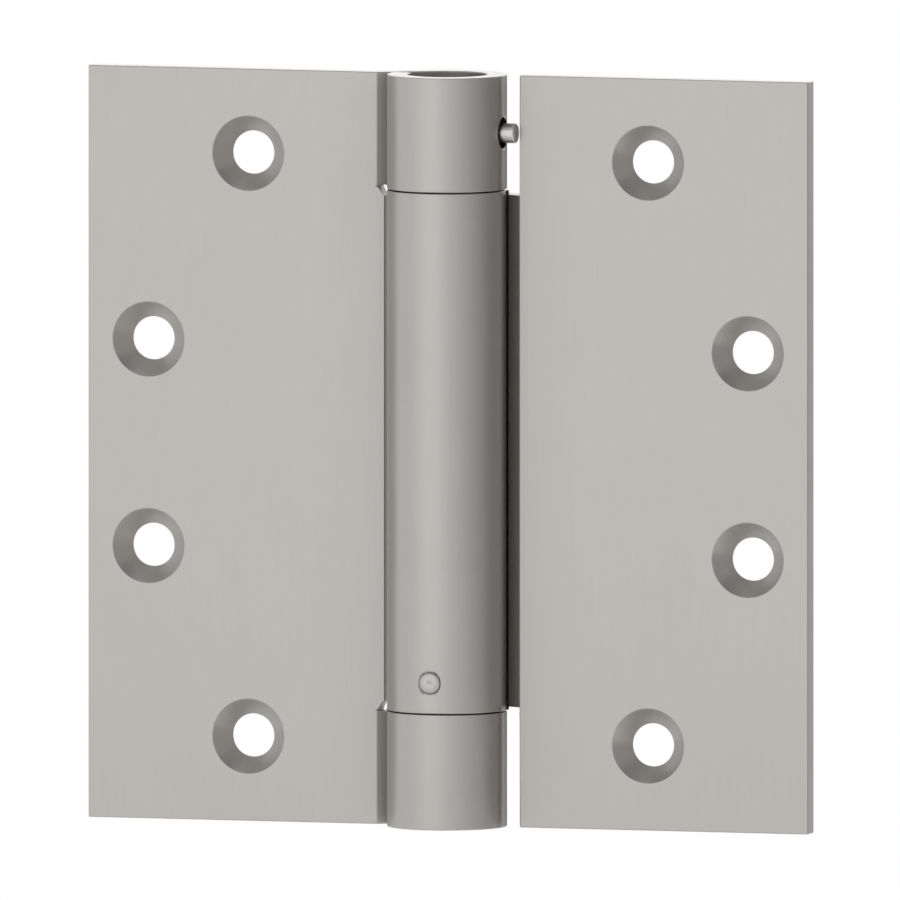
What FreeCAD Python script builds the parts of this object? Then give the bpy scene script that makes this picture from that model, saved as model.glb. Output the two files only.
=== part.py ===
import FreeCAD, Part

import math
import os

import Sketcher
from FreeCAD import Placement, Rotation, Vector

# A square-cornered spring hinge, laid open flat. Two steel leaves are rolled into one barrel: the frame
# leaf carries the top and bottom knuckles, the door leaf carries the long middle one. A torsion spring in
# the middle knuckle closes the door, and a plug in the top knuckle holds its tension with a loose pin.
#
# Axes: Z is the barrel's axis, pointing up, and X runs across the open leaves. The frame leaf is at -X and
# the door leaf at +X. The screw heads' side faces -Y. The origin is on the axis at mid height.

# Every driving size, in millimetres and degrees: its name, its value and what it measures.
SIZES = (
    ("leaf_height", 114.3, "height of leaves and barrel"),
    ("leaf_reach", 57.15, "barrel axis to a leaf's outer edge"),
    ("gauge", 3.05, "thickness of the leaf steel"),
    ("face_offset", 0.5, "barrel axis to the screw side of a leaf"),
    ("bore", 12.1, "hole through a rolled knuckle"),
    ("bend_stand", 2.25, "between a knuckle's outside and where its strip bends back"),
    ("bend_front", 0.6, "radius of that bend on the screw side"),
    ("bend_back", 0.5, "radius of that bend on the back"),
    ("roll_slit", 0.2, "between a rolled strip's end and the strip"),
    ("strip_lap", 3.0, "length of the strip that is part of the flat leaf"),
    ("knuckle_length", 17.55, "barrel's end to the middle of the joint below it or above it"),
    ("knuckle_gap", 0.3, "between the ends of two knuckles"),
    ("frame_edge_gap", 0.97, "between the middle knuckle and the frame leaf's edge beside it"),
    ("frame_relief_low", 1.2, "relief at a frame knuckle's root, from the joint towards the middle"),
    ("frame_relief_high", 0.4, "the same relief, from the joint away from the middle"),
    ("door_relief", 0.7, "relief at the middle knuckle's root, from the joint towards the middle"),
    ("screw_hole", 6.55, "clearance hole for a wood screw"),
    ("screw_sink", 11.4, "width of its countersink"),
    ("screw_sink_angle", 82.0, "angle of its countersink"),
    ("near_screw_edge", 25.4, "leaf's outer edge to the two screws nearer the barrel"),
    ("near_screw_end", 12.85, "each end of the leaf to one of those screws"),
    ("far_screw_edge", 9.55, "leaf's outer edge to the two screws further from the barrel"),
    ("far_screw_z", 15.7, "their height above and below the middle"),
    ("fit", 0.05, "radial clearance of every round piece in its seat"),
    ("thrust_gap", 0.05, "between a bush's flange and the knuckle that turns on it"),
    ("flange_rim", 1.6, "between the edge of a bush's flange and the barrel's outside"),
    ("flange_thickness", 1.2, "thickness of a bush's flange"),
    ("sleeve_length", 5.5, "length of a bush below its flange"),
    ("bush_wall", 1.75, "thickness of a bush's sleeve round the journal that turns in it"),
    ("journal_end", 0.3, "how far a journal stands out of its bush"),
    ("end_break", 0.35, "chamfer on the ends of plugs, cap and pins"),
    ("plug_recess", 1.5, "tension plug's top below the top of the barrel"),
    ("socket", 4.8, "hexagonal key socket, across its flats"),
    ("socket_depth", 5.5, "depth of the key socket"),
    ("pin_rows", 6, "tension holes round the plug"),
    ("stub_clearance", 0.5, "between the coil and the slotted stubs that hold the spring's ends"),
    ("stub_length", 5.6, "length of a slotted stub"),
    ("slot_depth", 4.2, "depth of its slot"),
    ("slot_clearance", 0.1, "between the spring's wire and each side of the slot"),
    ("collar_length", 7.95, "length of the anchor plug in the middle knuckle"),
    ("tension_drop", 8.75, "depth of the tension pin below the top of the barrel"),
    ("tension_pin", 3.1, "diameter of the tension pin"),
    ("tension_depth", 3.0, "depth of the tension holes in the plug"),
    ("tension_stand", 1.95, "how far the tension pin stands out of the barrel"),
    ("access_hole", 4.8, "hole in the top knuckle round the tension pin"),
    ("access_sink", 5.2, "width of its broken edge"),
    ("anchor_rise", 4.65, "height of the anchor pin above the foot of the middle knuckle"),
    ("anchor_pin", 3.2, "diameter of the anchor pin"),
    ("anchor_depth", 3.4, "depth of the anchor pin in its plug"),
    ("anchor_sink", 4.4, "width of the countersink round the anchor pin"),
    ("pin_sink_angle", 90.0, "angle of the countersinks in the barrel"),
    ("wire", 2.3, "side of the spring's square wire"),
    ("coil_clearance", 0.45, "between the spring's coil and the bore"),
    ("turns", 16, "whole turns of the coil"),
    ("coil_steps", 16, "straight runs that draw one turn of the coil"),
    ("tail_bend", 1.5, "mean radius of the bend from the coil to its straight end"),
    ("tail_short", 0.3, "straight end short of the far side of its stub"),
    ("cap_length", 4.0, "length of the bottom cap"),
    ("cap_recess", 0.4, "bottom cap below the barrel's end"),
)

doc = FreeCAD.newDocument("spring_hinge")


def make_sheet():
    """The spreadsheet of driving sizes. Features are bound to its named cells."""
    sheet = doc.addObject("Spreadsheet::Sheet", "sizes")
    for row, (name, value, meaning) in enumerate(SIZES, 1):
        sheet.set(f"A{row}", str(value))
        sheet.setAlias(f"A{row}", name)
        sheet.set(f"B{row}", meaning)
    doc.recompute()
    return sheet


size = make_sheet()

# Heights and radii that several pieces share, as formulas in the sheet's names.
OUTER_RADIUS = "(sizes.bore / 2 + sizes.gauge)"
SEAT_RADIUS = "(sizes.bore / 2 - sizes.fit)"
BEND_LINE = f"({OUTER_RADIUS} + sizes.bend_stand)"
FRAME_EDGE = f"({OUTER_RADIUS} + sizes.frame_edge_gap)"
FLANGE_RADIUS = f"({OUTER_RADIUS} - sizes.flange_rim)"
JOURNAL_RADIUS = f"({SEAT_RADIUS} - sizes.bush_wall - sizes.fit)"
COIL_RADIUS = "((sizes.bore - sizes.wire) / 2 - sizes.coil_clearance)"
STUB_RADIUS = f"({COIL_RADIUS} - sizes.wire / 2 - sizes.stub_clearance)"
HALF_HEIGHT = "(sizes.leaf_height / 2)"
JOINT_HEIGHT = f"({HALF_HEIGHT} - sizes.knuckle_length)"
MIDDLE_END = f"({JOINT_HEIGHT} - sizes.knuckle_gap / 2)"
FRAME_END = f"({JOINT_HEIGHT} + sizes.knuckle_gap / 2)"
TENSION_HEIGHT = f"({HALF_HEIGHT} - sizes.tension_drop)"
ANCHOR_HEIGHT = f"(sizes.anchor_rise - {MIDDLE_END})"
FLANGE_STAND = "(sizes.knuckle_gap - sizes.thrust_gap)"
FLANGE_SEAT = f"(sizes.flange_thickness - {FLANGE_STAND})"
JOURNAL_LENGTH = f"({FLANGE_SEAT} + sizes.sleeve_length + sizes.journal_end)"
UPPER_STUB_TOP = f"({MIDDLE_END} - {JOURNAL_LENGTH})"
UPPER_SLOT_TOP = f"({UPPER_STUB_TOP} - sizes.stub_length + sizes.slot_depth)"
LOWER_STUB_FOOT = f"(sizes.collar_length - {MIDDLE_END})"
LOWER_SLOT_FOOT = f"({LOWER_STUB_FOOT} + sizes.stub_length - sizes.slot_depth)"


def number(formula):
    """What a formula in the sheet's names comes to."""
    value = size.evalExpression(formula)
    return float(getattr(value, "Value", value))


def new_body(label):
    body = doc.addObject("PartDesign::Body", label)
    body.Label = label
    return body


def origin_part(body, role):
    return next(f for f in body.Origin.OriginFeatures if f.Role == role)


def new_sketch(body, role, label, lift="0", slide="0", turned=False):
    """A sketch on one of the body's own planes, lifted along its normal and slid along its second axis."""
    sketch = body.newObject("Sketcher::SketchObject", label)
    sketch.AttachmentSupport = [(origin_part(body, role), "")]
    sketch.MapMode = "FlatFace"
    if turned:
        sketch.AttachmentOffset = Placement(Vector(), Rotation(Vector(0, 1, 0), 180))
    sketch.setExpression("AttachmentOffset.Base.y", slide)
    sketch.setExpression("AttachmentOffset.Base.z", lift)
    return sketch


def bind(sketch, constraint, formula):
    """Add a constraint whose value follows a formula."""
    index = sketch.addConstraint(constraint)
    sketch.setExpression(f"Constraints[{index}]", formula)


def place(sketch, edge, end, x, y):
    """Dimension one point of an edge from the sketch's origin."""
    bind(sketch, Sketcher.Constraint("DistanceX", -1, 1, edge, end, number(x)), x)
    bind(sketch, Sketcher.Constraint("DistanceY", -1, 1, edge, end, number(y)), y)


def polygon(sketch, *corners):
    """A closed outline of straight edges through corners given as pairs of formulas."""
    points = [Vector(number(x), number(y), 0) for x, y in corners]
    first = sketch.GeometryCount
    count = len(points)
    for i in range(count):
        sketch.addGeometry(Part.LineSegment(points[i], points[(i + 1) % count]))
    for i in range(count):
        sketch.addConstraint(Sketcher.Constraint("Coincident", first + i, 2, first + (i + 1) % count, 1))
    for i, (x, y) in enumerate(corners):
        place(sketch, first + i, 1, x, y)
    return sketch


def circle(sketch, x, y, diameter):
    centre = Vector(number(x), number(y), 0)
    edge = sketch.addGeometry(Part.Circle(centre, Vector(0, 0, 1), number(diameter) / 2))
    place(sketch, edge, 3, x, y)
    bind(sketch, Sketcher.Constraint("Diameter", edge, number(diameter)), diameter)
    return sketch


def feature(body, kind, label, sketch, **settings):
    """A sketch-based feature. Formulas are given as text and are bound, other settings are set."""
    doc.recompute()
    before = body.Shape.Volume if body.Tip else 0.0
    item = body.newObject(f"PartDesign::{kind}", label)
    item.Profile = sketch
    for name, value in settings.items():
        if isinstance(value, str) and name in ("Length", "Depth", "Diameter", "HoleCutDiameter"):
            item.setExpression(name, value)
        else:
            setattr(item, name, value)
    doc.recompute()
    change = item.Shape.Volume - before
    if (change < 0) != (kind in ("Pocket", "Groove", "Hole")) or abs(change) < 1e-6:
        raise RuntimeError(f"{label} changed the volume by {change}")
    return item


def pad(body, label, sketch, length, **settings):
    return feature(body, "Pad", label, sketch, Length=length, **settings)


def pocket(body, label, sketch, length, **settings):
    return feature(body, "Pocket", label, sketch, Length=length, **settings)


def pocket_through(body, label, sketch):
    return feature(body, "Pocket", label, sketch, Type="ThroughAll", Midplane=True)


def revolve(body, label, sketch, axis):
    return feature(body, "Revolution", label, sketch, ReferenceAxis=(sketch, [axis]), Angle=360)


def drill(body, label, sketch, diameter, sink, angle, depth=None):
    """Countersunk round holes at a sketch's circles, right through where no depth is given."""
    doc.recompute()
    before = body.Shape.Volume
    hole = body.newObject("PartDesign::Hole", label)
    hole.Profile = sketch
    doc.recompute()
    hole.ThreadType = "None"
    hole.HoleCutType = "Countersink"
    hole.HoleCutCustomValues = True
    hole.DrillPoint = "Flat"
    hole.setExpression("Diameter", diameter)
    hole.setExpression("HoleCutDiameter", sink)
    hole.setExpression("HoleCutCountersinkAngle", angle)
    if depth is None:
        hole.DepthType = "ThroughAll"
    else:
        hole.DepthType = "Dimension"
        hole.setExpression("Depth", depth)
    doc.recompute()
    if hole.Shape.Volume > before - 1e-6:
        raise RuntimeError(f"{label} cut nothing")
    return hole


def mirror_down(body, label, item):
    """Repeat a feature below the middle."""
    mirror = body.newObject("PartDesign::Mirrored", label)
    mirror.Originals = [item]
    mirror.MirrorPlane = (origin_part(body, "XY_Plane"), [""])
    body.Tip = mirror
    doc.recompute()
    return mirror


def break_edges(body, label, radius, height):
    """Chamfer every round edge of this radius at this height."""
    doc.recompute()
    base = body.Tip
    edges = [
        f"Edge{i}"
        for i, edge in enumerate(base.Shape.Edges, 1)
        if isinstance(edge.Curve, Part.Circle)
        and abs(edge.Curve.Radius - number(radius)) < 1e-4
        and abs(edge.Curve.Center.z - number(height)) < 1e-4
    ]
    chamfer = body.newObject("PartDesign::Chamfer", label)
    chamfer.Base = (base, edges)
    chamfer.setExpression("Size", "sizes.end_break")
    doc.recompute()
    return chamfer


def knuckle_strip(sketch):
    """A knuckle's strip in plan, on the frame leaf's side. It leaves the flat leaf, bends back, runs along
    a tangent of the bore, rolls round behind and in front of it and ends just short of itself."""
    inner = number("sizes.bore / 2")
    outer = number(OUTER_RADIUS)
    gauge = number("sizes.gauge")
    face = number("sizes.face_offset")
    back = face + gauge
    bend = -number(BEND_LINE)
    root = bend - number("sizes.strip_lap")
    lean = math.asin(inner / math.hypot(bend, face)) - math.atan2(face, -bend)
    touch = math.pi / 2 + lean
    tip = touch + math.acos((inner - number("sizes.roll_slit")) / outer)
    along = Vector(math.cos(lean), math.sin(lean), 0)

    def polar(radius, angle):
        return Vector(radius * math.cos(angle), radius * math.sin(angle), 0)

    def arc(centre, radius, start, end):
        return Part.ArcOfCircle(Part.Circle(centre, Vector(0, 0, 1), radius), start, end)

    def bend_arc(corner, radius):
        run = radius * math.tan(lean / 2)
        centre = corner + Vector(-run, radius, 0)
        return arc(centre, radius, -math.pi / 2, lean - math.pi / 2), run

    front_corner = Vector(bend, face, 0)
    back_corner = Vector(bend - gauge * math.tan(lean / 2), back, 0)
    front_bend, front_run = bend_arc(front_corner, number("sizes.bend_front"))
    back_bend, back_run = bend_arc(back_corner, number("sizes.bend_back"))
    start, end = 1, 2
    front_flat = sketch.addGeometry(
        Part.LineSegment(Vector(root, face, 0), front_corner - Vector(front_run, 0, 0))
    )
    front_turn = sketch.addGeometry(front_bend)
    front_slope = sketch.addGeometry(
        Part.LineSegment(front_corner + along * front_run, polar(inner, touch))
    )
    inside = sketch.addGeometry(arc(Vector(), inner, tip - 2 * math.pi, touch))
    tip_face = sketch.addGeometry(Part.LineSegment(polar(inner, tip), polar(outer, tip)))
    outside = sketch.addGeometry(arc(Vector(), outer, tip - 2 * math.pi, touch))
    back_slope = sketch.addGeometry(
        Part.LineSegment(polar(outer, touch), back_corner + along * back_run)
    )
    back_turn = sketch.addGeometry(back_bend)
    back_flat = sketch.addGeometry(
        Part.LineSegment(back_corner - Vector(back_run, 0, 0), Vector(root, back, 0))
    )
    root_face = sketch.addGeometry(Part.LineSegment(Vector(root, back, 0), Vector(root, face, 0)))

    for joint in (
        ("Tangent", front_flat, end, front_turn, start),
        ("Tangent", front_turn, end, front_slope, start),
        ("Tangent", front_slope, end, inside, end),
        ("Coincident", inside, start, tip_face, start),
        ("Coincident", tip_face, end, outside, start),
        ("Tangent", outside, end, back_slope, start),
        ("Tangent", back_slope, end, back_turn, end),
        ("Tangent", back_turn, start, back_flat, start),
        ("Coincident", back_flat, end, root_face, start),
        ("Coincident", root_face, end, front_flat, start),
        ("Coincident", inside, 3, -1, 1),
        ("Coincident", outside, 3, -1, 1),
        ("Horizontal", front_flat),
        ("Horizontal", back_flat),
        ("Vertical", root_face),
        ("Parallel", front_slope, back_slope),
        ("PointOnObject", -1, 1, tip_face),
    ):
        sketch.addConstraint(Sketcher.Constraint(*joint))
    bind(sketch, Sketcher.Constraint("Radius", inside, inner), "sizes.bore / 2")
    bind(sketch, Sketcher.Constraint("Radius", outside, outer), OUTER_RADIUS)
    bind(sketch, Sketcher.Constraint("Radius", front_turn, number("sizes.bend_front")), "sizes.bend_front")
    bind(sketch, Sketcher.Constraint("Radius", back_turn, number("sizes.bend_back")), "sizes.bend_back")
    slit = number("sizes.roll_slit")
    bind(sketch, Sketcher.Constraint("Distance", outside, start, front_slope, slit), "sizes.roll_slit")
    place(sketch, root_face, end, f"-({BEND_LINE} + sizes.strip_lap)", "sizes.face_offset")
    bind(sketch, Sketcher.Constraint("DistanceY", root_face, end, root_face, start, gauge), "sizes.gauge")
    corner = sketch.addGeometry(Part.Point(front_corner))
    sketch.addConstraint(Sketcher.Constraint("PointOnObject", corner, 1, front_flat))
    sketch.addConstraint(Sketcher.Constraint("PointOnObject", corner, 1, front_slope))
    bind(sketch, Sketcher.Constraint("DistanceX", corner, 1, -1, 1, -bend), BEND_LINE)
    sketch.setConstruction(corner, True)
    return sketch


def leaf_plate(body, side, inner_edge):
    """The flat of a leaf, from its back to its screw side. The inner edge is its run of corners from the
    bottom up, and side is - or + for the way that the leaf lies from the barrel."""
    sketch = new_sketch(body, "XZ_Plane", "plate_outline", lift="-sizes.face_offset - sizes.gauge")
    polygon(
        sketch,
        (f"{side}sizes.leaf_reach", f"-{HALF_HEIGHT}"),
        *inner_edge,
        (f"{side}sizes.leaf_reach", HALF_HEIGHT),
    )
    return pad(body, "plate", sketch, "sizes.gauge")


def screw_holes(body, side):
    """Four countersunk holes in a staggered pattern, the same above and below the middle."""
    sketch = new_sketch(body, "XZ_Plane", "screw_places", lift="-sizes.face_offset")
    near = f"{side}(sizes.leaf_reach - sizes.near_screw_edge)"
    far = f"{side}(sizes.leaf_reach - sizes.far_screw_edge)"
    circle(sketch, near, f"{HALF_HEIGHT} - sizes.near_screw_end", "sizes.screw_hole")
    circle(sketch, far, "sizes.far_screw_z", "sizes.screw_hole")
    holes = drill(
        body, "screw_holes", sketch, "sizes.screw_hole", "sizes.screw_sink", "sizes.screw_sink_angle"
    )
    return mirror_down(body, "lower_screw_holes", holes)


def root_relief(body, near, far, low, high):
    """A small square notch that lets a knuckle's strip bend beside a plain edge."""
    sketch = new_sketch(body, "XZ_Plane", "relief_outline")
    polygon(sketch, (near, low), (far, low), (far, high), (near, high))
    return mirror_down(body, "lower_relief", pocket_through(body, "relief", sketch))


def bush_seat(body, height):
    """The counterbore in a knuckle's upper end that takes a bush's flange."""
    sketch = new_sketch(body, "XY_Plane", "bush_seat_outline", lift=height)
    circle(sketch, "0", "0", f"2 * ({FLANGE_RADIUS} + sizes.fit)")
    return pocket(body, "bush_seat", sketch, FLANGE_SEAT)


def make_frame_leaf():
    """The leaf that is screwed to the frame, with the top and bottom knuckles."""
    body = new_body("frame_leaf")
    root = f"-({BEND_LINE} + sizes.strip_lap / 2)"
    edge = f"-{FRAME_EDGE}"
    leaf_plate(
        body,
        "-",
        (
            (root, f"-{HALF_HEIGHT}"),
            (root, f"-{FRAME_END}"),
            (edge, f"-{FRAME_END}"),
            (edge, FRAME_END),
            (root, FRAME_END),
            (root, HALF_HEIGHT),
        ),
    )
    strip = knuckle_strip(new_sketch(body, "XY_Plane", "top_knuckle_outline", lift=FRAME_END))
    top = pad(body, "top_knuckle", strip, f"{HALF_HEIGHT} - {FRAME_END}")
    mirror_down(body, "bottom_knuckle", top)
    root_relief(
        body,
        f"-{BEND_LINE}",
        edge,
        f"{JOINT_HEIGHT} - sizes.frame_relief_low",
        f"{JOINT_HEIGHT} + sizes.frame_relief_high",
    )
    screw_holes(body, "-")
    bush_seat(body, f"-{FRAME_END}")
    access = new_sketch(body, "YZ_Plane", "access_place", lift=OUTER_RADIUS)
    circle(access, "0", TENSION_HEIGHT, "sizes.access_hole")
    drill(
        body,
        "access_hole",
        access,
        "sizes.access_hole",
        "sizes.access_sink",
        "sizes.pin_sink_angle",
        depth=OUTER_RADIUS,
    )
    return body


def make_door_leaf():
    """The leaf that is screwed to the door, with the middle knuckle that holds the spring."""
    body = new_body("door_leaf")
    root = f"{BEND_LINE} + sizes.strip_lap / 2"
    relief = f"({JOINT_HEIGHT} - sizes.door_relief)"
    leaf_plate(
        body,
        "+",
        (
            (BEND_LINE, f"-{HALF_HEIGHT}"),
            (BEND_LINE, f"-{relief}"),
            (root, f"-{relief}"),
            (root, relief),
            (BEND_LINE, relief),
            (BEND_LINE, HALF_HEIGHT),
        ),
    )
    strip = new_sketch(body, "XY_Plane", "middle_knuckle_outline", turned=True)
    pad(body, "middle_knuckle", knuckle_strip(strip), f"2 * {MIDDLE_END}", Midplane=True)
    root_relief(body, FRAME_EDGE, BEND_LINE, relief, FRAME_END)
    screw_holes(body, "+")
    bush_seat(body, MIDDLE_END)
    anchor = new_sketch(body, "XZ_Plane", "anchor_place", lift=OUTER_RADIUS)
    circle(anchor, "0", ANCHOR_HEIGHT, "sizes.anchor_pin + 2 * sizes.fit")
    drill(
        body,
        "anchor_hole",
        anchor,
        "sizes.anchor_pin + 2 * sizes.fit",
        "sizes.anchor_sink",
        "sizes.pin_sink_angle",
        depth=OUTER_RADIUS,
    )
    return body


def spring_slot(body, height, upwards):
    """The slot across a stub's end that holds the spring's straight end."""
    sketch = new_sketch(body, "XY_Plane", "slot_outline", lift=height)
    half_length = f"2 * {STUB_RADIUS}"
    half_width = "(sizes.wire / 2 + sizes.slot_clearance)"
    polygon(
        sketch,
        (f"-{half_length}", f"-{half_width}"),
        (half_length, f"-{half_width}"),
        (half_length, half_width),
        (f"-{half_length}", half_width),
    )
    return pocket(body, "slot", sketch, "sizes.slot_depth", Reversed=upwards)


def make_tension_plug():
    """The plug in the top knuckle. A key turns it in its socket to wind the spring, and the tension pin
    in one of its side holes stops it against the knuckle."""
    body = new_body("tension_plug")
    top = f"({HALF_HEIGHT} - sizes.plug_recess)"
    foot = f"({UPPER_STUB_TOP} - sizes.stub_length)"
    sketch = new_sketch(body, "XZ_Plane", "half_section")
    polygon(
        sketch,
        ("0", foot),
        (STUB_RADIUS, foot),
        (STUB_RADIUS, UPPER_STUB_TOP),
        (JOURNAL_RADIUS, UPPER_STUB_TOP),
        (JOURNAL_RADIUS, FRAME_END),
        (SEAT_RADIUS, FRAME_END),
        (SEAT_RADIUS, top),
        ("0", top),
    )
    revolve(body, "turned_plug", sketch, "V_Axis")
    break_edges(body, "top_break", SEAT_RADIUS, top)
    socket = new_sketch(body, "XY_Plane", "socket_outline", lift=top)
    point = "sizes.socket / sqrt(3)"
    half_side = "sizes.socket / (2 * sqrt(3))"
    flat = "sizes.socket / 2"
    polygon(
        socket,
        (point, "0"),
        (half_side, flat),
        (f"-{half_side}", flat),
        (f"-{point}", "0"),
        (f"-{half_side}", f"-{flat}"),
        (half_side, f"-{flat}"),
    )
    pocket(body, "socket", socket, "sizes.socket_depth")
    spring_slot(body, foot, upwards=True)
    side = new_sketch(body, "YZ_Plane", "tension_hole_place", lift=SEAT_RADIUS)
    circle(side, "0", TENSION_HEIGHT, "sizes.tension_pin + 2 * sizes.fit")
    hole = pocket(body, "tension_hole", side, "sizes.tension_depth")
    ring = body.newObject("PartDesign::PolarPattern", "tension_holes")
    ring.Originals = [hole]
    ring.Axis = (origin_part(body, "Z_Axis"), [""])
    ring.Angle = 360
    ring.setExpression("Occurrences", "sizes.pin_rows")
    body.Tip = ring
    return body


def make_anchor_plug():
    """The plug pinned in the foot of the middle knuckle. It holds the spring's lower end and turns with
    its journal in the bottom knuckle's bush."""
    body = new_body("anchor_plug")
    foot = f"(-{MIDDLE_END} - {FLANGE_STAND} - {FLANGE_SEAT} - sizes.sleeve_length - sizes.journal_end)"
    head = f"({LOWER_STUB_FOOT} + sizes.stub_length)"
    sketch = new_sketch(body, "XZ_Plane", "half_section")
    polygon(
        sketch,
        ("0", foot),
        (JOURNAL_RADIUS, foot),
        (JOURNAL_RADIUS, f"-{MIDDLE_END}"),
        (SEAT_RADIUS, f"-{MIDDLE_END}"),
        (SEAT_RADIUS, LOWER_STUB_FOOT),
        (STUB_RADIUS, LOWER_STUB_FOOT),
        (STUB_RADIUS, head),
        ("0", head),
    )
    revolve(body, "turned_plug", sketch, "V_Axis")
    break_edges(body, "foot_break", JOURNAL_RADIUS, foot)
    spring_slot(body, head, upwards=False)
    front = new_sketch(body, "XZ_Plane", "anchor_hole_place", lift=SEAT_RADIUS)
    circle(front, "0", ANCHOR_HEIGHT, "sizes.anchor_pin + 2 * sizes.fit")
    pocket(body, "anchor_hole", front, "sizes.anchor_depth")
    return body


def make_bush(label, seat):
    """A flanged bush in a knuckle's upper end. Its flange stands proud, so the knuckles don't rub."""
    body = new_body(label)
    top = f"({seat} + {FLANGE_STAND})"
    under = f"({seat} - {FLANGE_SEAT})"
    hole = f"{JOURNAL_RADIUS} + sizes.fit"
    sketch = new_sketch(body, "XZ_Plane", "half_section")
    polygon(
        sketch,
        (hole, f"{under} - sizes.sleeve_length"),
        (SEAT_RADIUS, f"{under} - sizes.sleeve_length"),
        (SEAT_RADIUS, under),
        (FLANGE_RADIUS, under),
        (FLANGE_RADIUS, top),
        (hole, top),
    )
    revolve(body, "turned_bush", sketch, "V_Axis")
    return body


def make_bottom_cap():
    """The plug that closes the bottom knuckle."""
    body = new_body("bottom_cap")
    foot = f"(sizes.cap_recess - {HALF_HEIGHT})"
    head = f"({foot} + sizes.cap_length)"
    sketch = new_sketch(body, "XZ_Plane", "half_section")
    polygon(sketch, ("0", foot), (SEAT_RADIUS, foot), (SEAT_RADIUS, head), ("0", head))
    revolve(body, "turned_cap", sketch, "V_Axis")
    break_edges(body, "foot_break", SEAT_RADIUS, foot)
    return body


def make_pin(label, role, slide, inner, outer, diameter, side):
    """A round pin that lies across the barrel, with a broken edge on its outer end."""
    body = new_body(label)
    sketch = new_sketch(body, role, "half_section", slide=slide)
    radius = f"{diameter} / 2"
    polygon(
        sketch,
        (f"{side}{inner}", "0"),
        (f"{side}{inner}", radius),
        (f"{side}({outer} - sizes.end_break)", radius),
        (f"{side}{outer}", f"{radius} - sizes.end_break"),
        (f"{side}{outer}", "0"),
    )
    revolve(body, "turned_pin", sketch, "H_Axis")
    return body


def square_bar(points, side):
    """A bar of upright square section along a run of points, mitred at each one and solid throughout."""
    half = side / 2
    up = Vector(0, 0, half)

    def level_normal(start, end):
        run = end - start
        return Vector(-run.y, run.x, 0).normalize()

    normals = [level_normal(a, b) for a, b in zip(points, points[1:])]
    rings = []
    for i, point in enumerate(points):
        before = normals[max(i - 1, 0)]
        after = normals[min(i, len(normals) - 1)]
        mitre = (before + after).normalize()
        across = mitre * (half / mitre.dot(after))
        rings.append([point - across - up, point + across - up, point + across + up, point - across + up])

    def flat(*corners):
        return Part.Face(Part.makePolygon([*corners, corners[0]]))

    faces = [flat(*rings[0]), flat(*rings[-1])]
    for a, b in zip(rings, rings[1:]):
        faces += [flat(a[1], b[1], b[2], a[2]), flat(a[3], b[3], b[0], a[0])]
        faces += [flat(a[0], b[0], b[1]), flat(a[0], b[1], a[1])]
        faces += [flat(a[2], b[2], b[3]), flat(a[2], b[3], a[3])]
    solid = Part.makeSolid(Part.makeShell(faces))
    if solid.Volume < 0:
        solid.reverse()
    return solid


def make_torsion_spring():
    """The spring's square wire. Each end of its coil bends in and lies straight across a stub's slot."""
    mean = number(COIL_RADIUS)
    bend = number("sizes.tail_bend")
    turns = round(number("sizes.turns"))
    steps = round(number("sizes.coil_steps"))
    seat = number("sizes.wire / 2 + sizes.slot_clearance")
    low = number(LOWER_SLOT_FOOT) + seat
    high = number(UPPER_SLOT_TOP) - seat
    far = number(f"{STUB_RADIUS} - sizes.tail_short")
    start = math.asin(bend / (mean - bend))
    centre = Vector((mean - bend) * math.cos(start), bend, 0)
    count = turns * steps
    swept = 2 * (math.pi * turns - start)
    bend_steps = steps // 4

    def tail(height, side):
        """From the far side of the stub to the coil. Side is 1 where the coil leaves towards the back."""
        points = [Vector(-far, 0, height)]
        for i in range(bend_steps):
            angle = (start + math.pi / 2) * i / bend_steps - math.pi / 2
            x = centre.x + bend * math.cos(angle)
            y = centre.y + bend * math.sin(angle)
            points.append(Vector(x, side * y, height))
        return points

    coil = []
    for i in range(count + 1):
        angle = start + swept * i / count
        height = low + (high - low) * i / count
        coil.append(Vector(mean * math.cos(angle), mean * math.sin(angle), height))
    path = tail(low, 1) + coil + tail(high, -1)[::-1]
    spring = doc.addObject("Part::Feature", "torsion_spring")
    spring.Label = "torsion_spring"
    spring.Shape = square_bar(path, number("sizes.wire"))
    spring.Placement = Placement()
    return spring


def make_all():
    frame_leaf = make_frame_leaf()
    door_leaf = make_door_leaf()
    tension_plug = make_tension_plug()
    tension_pin = make_pin(
        "tension_pin",
        "XZ_Plane",
        TENSION_HEIGHT,
        f"({SEAT_RADIUS} - sizes.tension_depth + sizes.fit)",
        f"({OUTER_RADIUS} + sizes.tension_stand)",
        "sizes.tension_pin",
        "+",
    )
    anchor_plug = make_anchor_plug()
    anchor_pin = make_pin(
        "anchor_pin",
        "YZ_Plane",
        ANCHOR_HEIGHT,
        f"({SEAT_RADIUS} - sizes.anchor_depth + sizes.fit)",
        OUTER_RADIUS,
        "sizes.anchor_pin",
        "-",
    )
    upper_bush = make_bush("upper_bush", MIDDLE_END)
    lower_bush = make_bush("lower_bush", f"(-{FRAME_END})")
    bottom_cap = make_bottom_cap()
    torsion_spring = make_torsion_spring()
    return [
        frame_leaf,
        door_leaf,
        tension_plug,
        tension_pin,
        anchor_plug,
        anchor_pin,
        upper_bush,
        lower_bush,
        bottom_cap,
        torsion_spring,
    ]


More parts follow.
